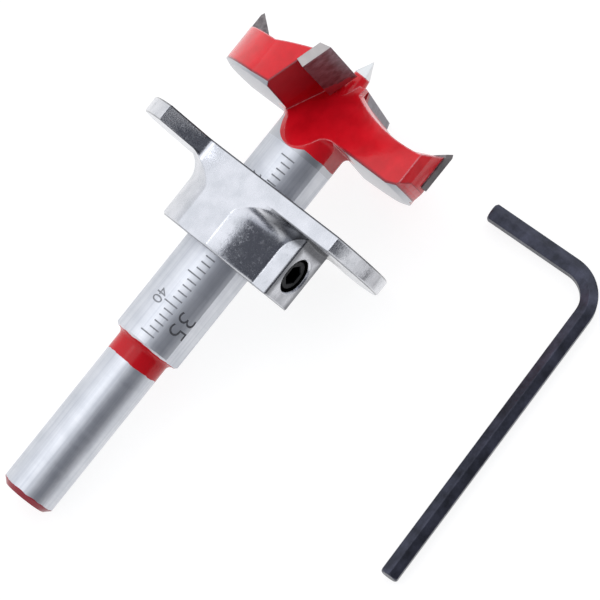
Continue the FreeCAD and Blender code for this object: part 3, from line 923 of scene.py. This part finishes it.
def close_screw_ends(mesh):
    """Adds the flat point, the end face and the hexagon socket to the threaded rod."""
    shape = bmesh.new()
    shape.from_mesh(mesh)
    borders = [edge for edge in shape.edges if edge.is_boundary]
    loops = {"point": [], "end": []}
    for edge in borders:
        side = "point" if edge.verts[0].co.z < screw_length / 2 * MM else "end"
        loops[side].append(edge)
    bmesh.ops.contextual_create(shape, geom=loops["point"])
    corner_radius = socket_across_flats / math.sqrt(3)
    floor_level = screw_length - socket_depth
    mouth = socket_ring(shape, corner_radius + socket_mouth_bevel, screw_length)
    lip = socket_ring(shape, corner_radius, screw_length - socket_mouth_bevel)
    floor_ring = socket_ring(shape, corner_radius, floor_level)
    close_rings(shape, mouth, lip)
    close_rings(shape, lip, floor_ring)
    centre = shape.verts.new((0, 0, (floor_level - socket_drill_point) * MM))
    for index in range(socket_corners):
        after = (index + 1) % socket_corners
        shape.faces.new((floor_ring[index], floor_ring[after], centre))
    mouth_edges = [
        edge for edge in shape.edges if edge.verts[0] in mouth and edge.verts[1] in mouth
    ]
    bmesh.ops.bridge_loops(shape, edges=loops["end"] + mouth_edges)
    bmesh.ops.recalc_face_normals(shape, faces=shape.faces[:])
    shape.to_mesh(mesh)
    shape.free()


def make_set_screw():
    """The set screw with its thread, its bevelled ends and its hexagon socket."""
    sizes = {
        "Rows": thread_rows,
        "Steps Per Turn": steps_per_turn,
        "Length": screw_length * MM,
        "Crest Radius": screw_radius * MM,
        "Thread Depth": thread_depth * MM,
        "Pitch": screw_pitch * MM,
        "Point Bevel": screw_point_bevel * MM,
        "End Bevel": screw_end_bevel * MM,
    }
    piece = grown_piece("set_screw_threaded", grow_thread, screw_black, sizes)
    mesh = piece.data
    mesh.materials.clear()
    mesh.materials.append(screw_black)
    for polygon in mesh.polygons:
        polygon.material_index = 0
    close_screw_ends(mesh)
    out = bearing_vector(screw_bearing)
    up = Vector((0, 0, 1))
    foot = (out * screw_point_reach + up * screw_level) * MM
    axes = Matrix((up, out.cross(up), out)).transposed()
    mesh.transform(tool_matrix @ Matrix.Translation(foot) @ axes.to_4x4())
    return piece


screw = make_set_screw()
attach(screw, "set_screw")
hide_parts("set_screw")

for mark in (make_scale(), make_numbers(), make_size_mark()):
    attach(mark, "bit")


# Floor, light and camera

def make_floor():
    """A plain pale table that glows faintly, so that the shadows on it stay light."""
    reach = floor_reach * MM
    mesh = bpy.data.meshes.new("floor")
    corners = [(-reach, -reach, 0), (reach, -reach, 0), (reach, reach, 0), (-reach, reach, 0)]
    mesh.from_pydata(corners, [], [(0, 1, 2, 3)])
    floor = bpy.data.objects.new("floor", mesh)
    bpy.context.collection.objects.link(floor)
    floor.location.z = cad_low.z - floor_gap * MM
    table, tree, shader = new_material("white_table")
    give(
        tree,
        shader,
        {
            "Base Color": linear("#808080"),
            "Roughness": 0.7,
            "Emission Color": linear("#ffffff"),
            "Emission Strength": 0.84,
        },
    )
    mesh.materials.append(table)


def make_lamp():
    """A soft rectangular lamp on the far side, which faces the middle of the object."""
    lamp = bpy.data.lights.new("far_softbox", "AREA")
    lamp.shape = "RECTANGLE"
    lamp.size = lamp_width * MM
    lamp.size_y = lamp_height * MM
    lamp.energy = lamp_watts
    holder = bpy.data.objects.new("far_softbox", lamp)
    bpy.context.collection.objects.link(holder)
    holder.location = Vector(lamp_place) * MM
    aim = (cad_low + cad_high) / 2 - holder.location
    holder.rotation_euler = aim.to_track_quat("-Z", "Y").to_euler()


def studio_sky():
    """Pale studio walls, brightest high up, and a dim patch on the near side.

    The patch stands for the dark part of a room round the camera. It gives the round metal its
    dark band, which starts sharply just past the middle of a bar.
    """
    world = bpy.data.worlds.new("studio")
    bpy.context.scene.world = world
    world.use_nodes = True
    tree = world.node_tree
    direction = add(tree, "ShaderNodeTexCoord").outputs["Generated"]
    axes = add(tree, SEPARATE, direction).outputs
    near = add(tree, RANGE, axes["Y"], *near_side, 1.0, 0.0)
    from_middle = add(tree, MATH, axes["X"], patch_middle, operation="SUBTRACT")
    aside = add(tree, MATH, from_middle, operation="ABSOLUTE")
    narrow = add(tree, RANGE, aside, *patch_half_width, 1.0, 0.0)
    from_slit = add(tree, MATH, axes["X"], slit_middle, operation="SUBTRACT")
    beside_slit = add(tree, MATH, from_slit, operation="ABSOLUTE")
    slit = add(tree, RANGE, beside_slit, *slit_half_width, slit_share, 1.0)
    left = add(tree, RANGE, axes["X"], *left_side, 1.0, 0.0)
    not_far = add(tree, RANGE, axes["Y"], *left_far_edge, 1.0, 0.0)
    not_high = add(tree, RANGE, axes["Z"], *left_top, 1.0, 0.0)
    round_camera = overlap(tree, near, narrow, slit)
    patch = any_of(tree, round_camera, overlap(tree, left, not_far, not_high))
    wall = add(tree, RANGE, axes["Z"], *wall_rise, *wall_strengths)
    colours = (linear("#f6f8fc"), linear("#dde2f4"))
    give(
        tree,
        tree.nodes["Background"],
        {
            "Strength": add(tree, MIX, patch, wall, patch_strength),
            "Color": add(tree, MIX, patch, *colours, data_type="RGBA"),
        },
    )


def make_camera():
    """The photograph's camera."""
    data = bpy.data.cameras.new("photo_camera")
    data.sensor_width = camera_sensor
    data.lens = camera_lens
    camera = bpy.data.objects.new("photo_camera", data)
    bpy.context.collection.objects.link(camera)
    camera.location = shoulder + Vector(camera_place) * MM
    aim = Vector(camera_target) * MM - camera.location
    upright = aim.to_track_quat("-Z", "Y").to_matrix()
    roll = Matrix.Rotation(math.radians(camera_roll), 3, "Z")
    camera.rotation_euler = (upright @ roll).to_euler()
    bpy.context.scene.camera = camera


make_floor()
make_lamp()
studio_sky()
make_camera()
bpy.context.scene.view_settings.view_transform = "Standard"
